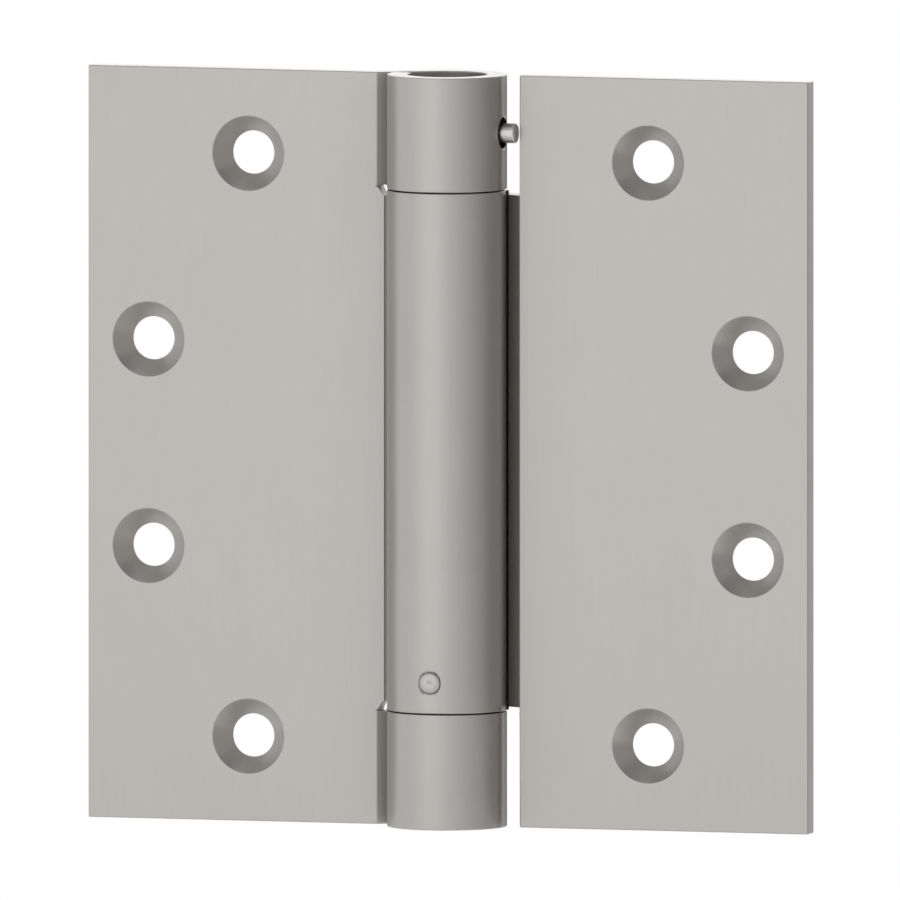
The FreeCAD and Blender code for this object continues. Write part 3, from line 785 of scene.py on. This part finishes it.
def make_wear_and_edge_highlight():
    """Worn edges with a painted highlight: how far the surface turns away from its own rounded
    neighbourhood.
    """
    tree, given, out = new_group("worn edges with painted highlight", {"Reach": 0.0003}, "Wear and painted highlight")
    # The brighter edges are partly wear and partly a painted highlight.
    rounded = node(tree, "ShaderNodeBevel", {"Radius": given["Reach"]}, samples=6).outputs["Normal"]
    flat = node(tree, "ShaderNodeNewGeometry").outputs["Normal"]
    match = node(tree, "ShaderNodeVectorMath", {0: rounded, 1: flat}, operation="DOT_PRODUCT")
    edge = share_of_way(tree, match.outputs["Value"], 0.995, 0.9)
    broken = cloud(tree, own_place(tree), 900.0, 3.0)
    tree.links.new(work_out(tree, "MULTIPLY", edge, broken, use_clamp=True), out["Wear and painted highlight"])
    return tree


def make_painted_shade():
    """Painted shade in deep corners and between parts: how shut in the surface is, within a reach."""
    tree, given, out = new_group("painted shade in corners", {"Reach": 0.005}, "Depth")
    # Ambient occlusion, from this piece and its neighbours, says where the painted shade goes.
    open_share = node(tree, "ShaderNodeAmbientOcclusion", {"Distance": given["Reach"]}, samples=8)
    tree.links.new(share_of_way(tree, open_share.outputs["AO"], 0.95, 0.35), out["Depth"])
    return tree


GRAIN = make_grain()
HAZE = make_haze()
WEAR_AND_EDGE_HIGHLIGHT = make_wear_and_edge_highlight()
PAINTED_SHADE = make_painted_shade()


def use_group(tree, group, **values):
    """The results of a shared effect."""
    return node(tree, "ShaderNodeGroup", values, node_tree=group).outputs


# The finishes. In a metal, the shares say how much of its tone is grain and how much is haze, and how
# much smoother a worn edge is. A shut in corner has painted shade: the dull tone times the painted shade
# tone.

# How dark the painted shade in corners is, as a share of the dull tone.
PAINTED_SHADE_TONE = 0.74
GRAIN_SHARE = 0.6
HAZE_SHARE = 0.4
RUBBED_SHARE = 0.3


def new_finish(name):
    """A material, its nodes and its shader."""
    finish = bpy.data.materials.new(name)
    finish.use_nodes = True
    return finish, finish.node_tree, finish.node_tree.nodes["Principled BSDF"]


def add_relief(tree, shader, height, strength, depth):
    """Add bump to a shader. Depth is in metres."""
    bump = node(tree, "ShaderNodeBump", {"Height": height, "Strength": strength, "Distance": depth})
    tree.links.new(bump.outputs["Normal"], shader.inputs["Normal"])


def metal(name, dull, bright, worn_highlight_tone, smooth, rough, fineness, length, relief):
    """A metal finish: two tones through its grain, painted shade in its corners and between parts,
    brighter worn edges that are partly a painted highlight, and roughness from its haze. Relief is the
    depth of the grain in metres."""
    finish, tree, shader = new_finish(name)
    grain = use_group(tree, GRAIN, Fineness=fineness, Length=length)
    haze = use_group(tree, HAZE, Patches=70.0)["Haze"]
    wear_and_highlight = use_group(tree, WEAR_AND_EDGE_HIGHLIGHT, Reach=0.0003)["Wear and painted highlight"]
    painted_shade = use_group(tree, PAINTED_SHADE, Reach=0.014)["Depth"]
    streaked = work_out(tree, "MULTIPLY", grain["Grain"], GRAIN_SHARE)
    clouded = work_out(tree, "MULTIPLY_ADD", haze, HAZE_SHARE, streaked, use_clamp=True)
    body = mix_colour(tree, clouded, dull, bright)
    # Painted shade: the colour darkens where the surface is shut in by corners and other parts.
    shaded_tone = tuple(PAINTED_SHADE_TONE * level for level in dull)
    body = mix_colour(tree, painted_shade, body, shaded_tone)
    # Painted highlight, partly wear: edges get the brighter tone in the base colour.
    tree.links.new(mix_colour(tree, wear_and_highlight, body, worn_highlight_tone), shader.inputs["Base Color"])
    dulled = work_out(tree, "MULTIPLY_ADD", wear_and_highlight, -RUBBED_SHARE, clouded, use_clamp=True)
    tree.links.new(spread(tree, dulled, smooth, rough), shader.inputs["Roughness"])
    add_relief(tree, shader, grain["Height"], 0.5, relief)
    shader.inputs["Metallic"].default_value = 1
    return finish


def nylon():
    """Natural moulded nylon, with a faint cloud in its colour and a fine moulded skin."""
    finish, tree, shader = new_finish("natural nylon")
    haze = use_group(tree, HAZE, Patches=180.0)["Haze"]
    colour = mix_colour(tree, haze, (0.74, 0.73, 0.67), (0.82, 0.81, 0.76))
    tree.links.new(colour, shader.inputs["Base Color"])
    tree.links.new(spread(tree, haze, 0.42, 0.55), shader.inputs["Roughness"])
    add_relief(tree, shader, cloud(tree, own_place(tree), 5000.0, 3.0), 0.3, 0.00001)
    return finish


SATIN_CHROME = metal(
    "satin chrome", (0.50, 0.482, 0.462), (0.56, 0.541, 0.519), (0.65, 0.632, 0.61),
    smooth=0.27, rough=0.36, fineness=2600.0, length=24.0, relief=0.000004,
)
PLUG_STEEL = metal(
    "zinc plated plug", (0.38, 0.37, 0.355), (0.47, 0.46, 0.445), (0.6, 0.59, 0.57),
    smooth=0.3, rough=0.42, fineness=3200.0, length=0.3, relief=0.000006,
)
PIN_STEEL = metal(
    "drawn pin steel", (0.68, 0.672, 0.655), (0.78, 0.77, 0.755), (0.86, 0.85, 0.835),
    smooth=0.22, rough=0.32, fineness=3600.0, length=1.0, relief=0.000004,
)
ANCHOR_STEEL = metal(
    "plated pin end", (0.53, 0.515, 0.495), (0.62, 0.605, 0.585), (0.7, 0.685, 0.665),
    smooth=0.28, rough=0.38, fineness=4200.0, length=1.0, relief=0.000005,
)
SPRING_STEEL = metal(
    "oil tempered wire", (0.13, 0.125, 0.12), (0.2, 0.19, 0.18), (0.34, 0.33, 0.31),
    smooth=0.28, rough=0.44, fineness=2400.0, length=0.5, relief=0.000005,
)
NYLON = nylon()

FINISHES = {
    "frame_leaf": SATIN_CHROME,
    "door_leaf": SATIN_CHROME,
    "bottom_cap": SATIN_CHROME,
    "tension_plug": PLUG_STEEL,
    "anchor_plug": PLUG_STEEL,
    "tension_pin": PIN_STEEL,
    "anchor_pin": ANCHOR_STEEL,
    "torsion_spring": SPRING_STEEL,
    "upper_bush": NYLON,
    "lower_bush": NYLON,
}


# The finished pieces: each takes the place of its plain part.

def dress(piece, finish):
    """Give a piece its finish."""
    piece.data.materials.clear()
    piece.data.materials.append(finish)


for cad_name, make, body, width, slot in (
    ("frame_leaf", make_frame_leaf, "frame_side", 0, "satin_chrome"),
    ("door_leaf", make_door_leaf, "door_side", 0, "satin_chrome"),
    ("tension_plug", make_tension_plug, "frame_side", 0, "plug_steel"),
    ("tension_pin", make_tension_pin, "frame_side", 0.05 * MM, "pin_steel"),
    ("anchor_pin", make_anchor_pin, "door_side", 0.02 * MM, "pin_steel"),
    ("bottom_cap", make_bottom_cap, "frame_side", 0.05 * MM, "satin_chrome"),
):
    piece = make()
    soften_edges(piece, width)
    dress(piece, FINISHES[cad_name])
    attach(piece, body)
    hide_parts(cad_name)

spring = make_spring()
soften_edges(spring, EDGE_ROUND)
dress(spring, FINISHES["torsion_spring"])
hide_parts("torsion_spring")
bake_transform(spring)

for cad_name, finish in FINISHES.items():
    dress(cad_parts[cad_name], finish)


# The studio: a pale floor well below the hinge, a grey sweep round it, soft lamps and the camera.
# Tones are pairs of the compass angle in degrees, from the front to the right, and the grey there.

AROUND = 144
FLOOR_RADIUS = 0.3
FLOOR_DROP = 40 * MM
FADE_START = 0.09
FADE_END = 0.27
STUDIO = 0.45
WALL = 0.35
WALL_END = 150
LOW_CARD = (-0.11, 0.045)
LOW_CARD_STAND = 0.02
LOW_CARD_END = -155
WALL_TONES = (
    (-150, 0.38), (-138, 0.42), (-124, 0.56), (-114, 0.69), (-99, 0.77), (-84, 0.83), (-60, 0.79),
    (-42, 0.88), (-22, 1.02), (-8, 1.03), (4, 0.95), (18, 0.81), (42, 0.67), (66, 0.5),
    (92, 0.38), (126, 0.36), (150, 0.32),
)
CEILING_TONES = (
    (-180, 0.5), (-60, 0.55), (-10, 0.58), (30, 0.45), (70, 0.26), (120, 0.26), (180, 0.46),
)
LOW_CARD_TONES = (
    (-180, 0.36), (150, 0.34), (152.5, 0.95), (157.5, 0.95), (160.5, 0.24), (170, 0.22), (180, 0.36),
)
WHITE = (1, 1, 1, 1)
UNSEEN_WHITE = 0.7


def make_floor():
    """A round sheet of pale paper that fades into the white background towards its rim. From below,
    the camera sees through it."""
    put_down()
    bpy.ops.mesh.primitive_circle_add(
        vertices=AROUND, radius=FLOOR_RADIUS, fill_type="NGON", location=(0, 0, -LEAF_TOP - FLOOR_DROP)
    )
    floor = name_new("studio_floor")
    paper, tree, shader = new_finish("floor paper")
    place = own_place(tree)
    fibre = cloud(tree, place, 120.0, 4.0)
    colour = mix_colour(tree, fibre, (0.86, 0.86, 0.855), (0.9, 0.9, 0.895))
    tree.links.new(colour, shader.inputs["Base Color"])
    shader.inputs["Roughness"].default_value = 0.9

    flat = node(tree, "ShaderNodeVectorMath", {0: place, 1: (1, 1, 0)}, operation="MULTIPLY")
    reach = node(tree, "ShaderNodeVectorMath", {0: flat.outputs[0]}, operation="LENGTH")
    fade = share_of_way(
        tree, reach.outputs["Value"], FADE_START, FADE_END, interpolation_type="SMOOTHSTEP"
    )
    to_camera = node(tree, "ShaderNodeLightPath").outputs["Is Camera Ray"]
    below = node(tree, "ShaderNodeNewGeometry").outputs["Backfacing"]
    white = node(tree, "ShaderNodeEmission", {"Color": WHITE, "Strength": 1.0})
    clear = node(tree, "ShaderNodeBsdfTransparent")
    faded = mix_shaders(tree, work_out(tree, "MULTIPLY", fade, to_camera), shader, white)
    seen = mix_shaders(tree, work_out(tree, "MULTIPLY", below, to_camera), faded, clear)
    output = next(n for n in tree.nodes if n.type == "OUTPUT_MATERIAL")
    tree.links.new(seen.outputs[0], output.inputs["Surface"])
    floor.data.materials.append(paper)


def glowing_card(name, tones):
    """A card that the metal reflects."""
    card = bpy.data.materials.new(name)
    card.use_nodes = True
    tree = card.node_tree
    tree.nodes.clear()
    parts = node(tree, "ShaderNodeSeparateXYZ", {0: own_place(tree)}).outputs
    front = work_out(tree, "MULTIPLY", parts["Y"], -1.0)
    angle = work_out(tree, "ARCTAN2", parts["X"], front)
    tone = node(tree, "ShaderNodeValToRGB", {"Fac": share_of_way(tree, angle, -math.pi, math.pi)})
    ramp = tone.color_ramp
    for i, (degrees, level) in enumerate(tones):
        at = (degrees + 180) / 360
        stop = ramp.elements[i] if i < 2 else ramp.elements.new(at)
        stop.position = at
        stop.color = (level, level, level, 1)
    glow = node(tree, "ShaderNodeEmission", {"Color": tone.outputs["Color"], "Strength": 1.0})
    node(tree, "ShaderNodeOutputMaterial", {"Surface": glow.outputs[0]})
    return card


def show_to_gloss(stand, card):
    """Put the card on its stand, where only reflections see it."""
    stand.data.materials.append(card)
    stand.visible_camera = False
    stand.visible_diffuse = False
    stand.visible_shadow = False
    stand.visible_transmission = False


def make_wall(name, radius, low, high, keep, card):
    """A curved wall of card round the hinge. Keep says which angles it spans."""
    put_down()
    bpy.ops.mesh.primitive_circle_add(vertices=AROUND, radius=radius, location=(0, 0, low))
    wall = name_new(name)
    edit_all(wall, "EDGE")
    draw_out(0, 0, high - low)
    pick_faces(wall, lambda c, n: not keep(math.degrees(math.atan2(c.x, -c.y))))
    bpy.ops.mesh.delete(type="FACE")
    put_down()
    show_to_gloss(wall, card)


def make_ceiling(card):
    """A darker card over the wall."""
    put_down()
    bpy.ops.mesh.primitive_circle_add(
        vertices=AROUND, radius=STUDIO, fill_type="TRIFAN", location=(0, 0, WALL)
    )
    show_to_gloss(name_new("grey_ceiling"), card)


def make_sweep():
    """The wall in front and at the sides, lightest in front, the ceiling, and a low card behind that is
    dark but for one light patch."""
    make_wall(
        "grey_sweep", STUDIO, -WALL, WALL, lambda angle: abs(angle) < WALL_END,
        glowing_card("grey card", WALL_TONES),
    )
    make_ceiling(glowing_card("ceiling card", CEILING_TONES))
    make_wall(
        "low_card", STUDIO - LOW_CARD_STAND, *LOW_CARD,
        lambda angle: angle > WALL_END or angle < LOW_CARD_END,
        glowing_card("dark card", LOW_CARD_TONES),
    )


def make_lamp(name, place, width, level, mirrored):
    """A square soft lamp that points at the hinge and looks as bright as its level, where 1 is white.
    Mirrored says whether the metal shows it."""
    lamp = bpy.data.lights.new(name, "AREA")
    lamp.shape = "SQUARE"
    lamp.size = width
    lamp.energy = level * math.pi * width * width
    holder = bpy.data.objects.new(name, lamp)
    holder.location = place
    holder.rotation_euler = (-Vector(place)).to_track_quat("-Z", "Y").to_euler()
    holder.visible_glossy = mirrored
    bpy.context.scene.collection.objects.link(holder)


def make_world():
    """A white background, as the camera and reflections see it, over a plain level for all the rest."""
    world = bpy.data.worlds.new("studio")
    bpy.context.scene.world = world
    world.use_nodes = True
    tree = world.node_tree
    tree.nodes.clear()
    rays = node(tree, "ShaderNodeLightPath").outputs
    seen = work_out(tree, "MAXIMUM", rays["Is Camera Ray"], rays["Is Glossy Ray"])
    seen = work_out(tree, "MAXIMUM", seen, rays["Is Transmission Ray"])
    plain = node(tree, "ShaderNodeBackground", {"Color": WHITE, "Strength": UNSEEN_WHITE})
    white = node(tree, "ShaderNodeBackground", {"Color": WHITE, "Strength": 1.0})
    node(tree, "ShaderNodeOutputWorld", {"Surface": mix_shaders(tree, seen, plain, white).outputs[0]})


def make_camera():
    """The photograph's view: from a little to the right and a little above, with no perspective. The
    axis pixel is where the barrel's axis stands across the photograph's 900 pixels."""
    turn = math.radians(17.5)
    rise = math.radians(4.5)
    pixels = 900
    pixels_per_metre = 6600
    axis_pixel = 447.05
    distance = 0.6
    along = math.cos(rise)
    back = Vector((math.sin(turn) * along, -math.cos(turn) * along, math.sin(rise)))
    right = Vector((math.cos(turn), math.sin(turn), 0))
    lens = bpy.data.cameras.new("camera")
    lens.type = "ORTHO"
    lens.ortho_scale = pixels / pixels_per_metre
    lens.clip_start = 0.01
    lens.clip_end = 10
    camera = bpy.data.objects.new("camera", lens)
    camera.location = back * distance + right * (pixels / 2 - axis_pixel) / pixels_per_metre
    camera.rotation_euler = (-back).to_track_quat("-Z", "Y").to_euler()
    bpy.context.scene.collection.objects.link(camera)
    bpy.context.scene.camera = camera


make_floor()
make_sweep()
make_lamp("overhead", (0, 0, 0.6), width=0.6, level=0.6, mirrored=False)
make_lamp("key", (-0.4, -0.6, 0.5), width=0.4, level=1.2, mirrored=False)
make_lamp("rim", (-0.27, 0.86, 0.2), width=0.4, level=0.6, mirrored=True)
make_world()
make_camera()
bpy.context.scene.view_settings.view_transform = "Standard"
